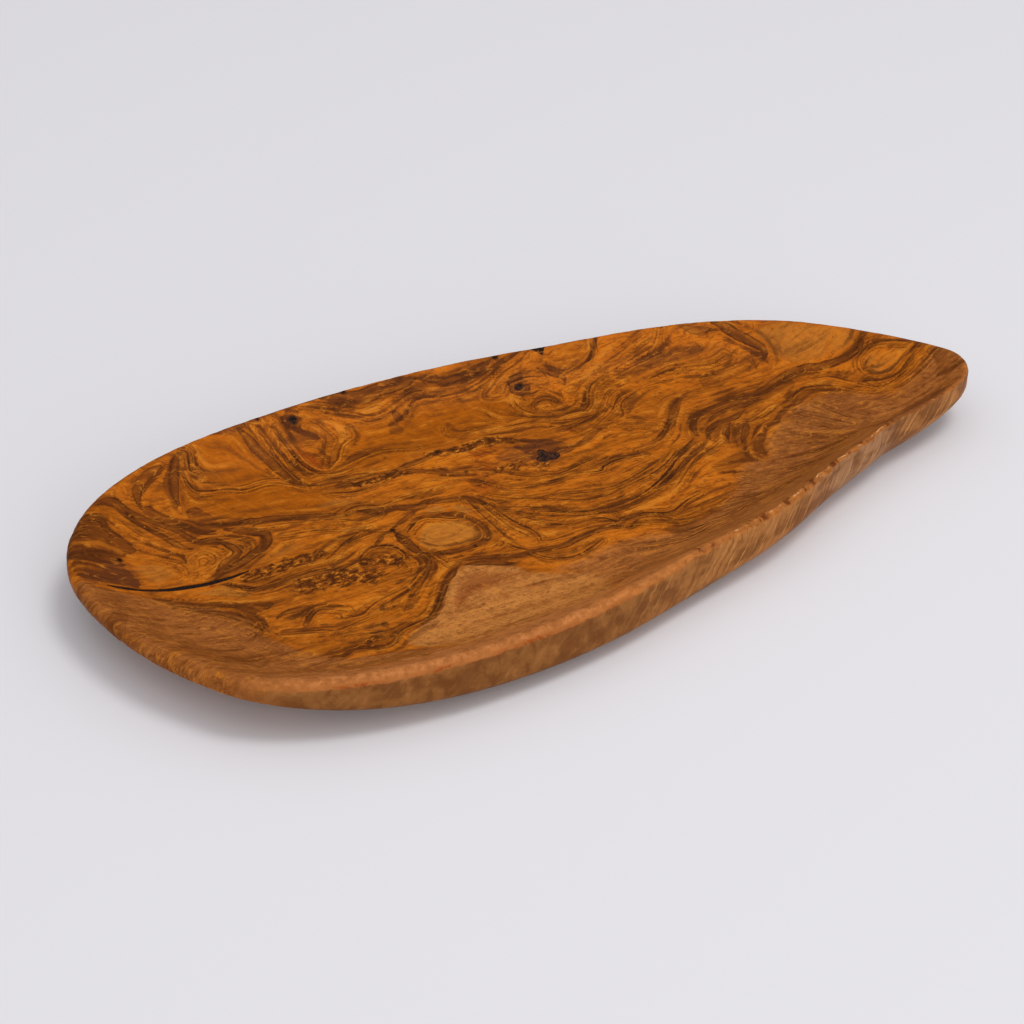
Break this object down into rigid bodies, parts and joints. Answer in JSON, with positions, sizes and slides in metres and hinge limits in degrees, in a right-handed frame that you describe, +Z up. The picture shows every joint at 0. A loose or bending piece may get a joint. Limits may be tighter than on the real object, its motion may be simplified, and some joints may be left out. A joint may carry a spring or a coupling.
{
  "type": "serving board",
  "caption": "Teardrop serving dish carved from one olive-wood slab, hollowed to a flat floor, with a live edge and dark filled flaws.",
  "frame": {"origin": "middle of the overall length and width, on the flat base", "axes": "+X along the length towards the narrow tip, +Y towards the far side, +Z up out of the hollow"},
  "size_m": [0.38, 0.184, 0.025],
  "materials": {
    "olive_wood": "oiled, satin, with dark brown figure",
    "dark_resin": "polished flush with the wood",
    "dead_knot": "oiled, nearly black"
  },
  "bodies": {
    "root": {"board": "olive_wood", "check_filler": "dark_resin", "heart_filler": "dark_resin", "dead_knot_left": "dead_knot", "dead_knot_right": "dead_knot"}
  },
  "joints": []
}
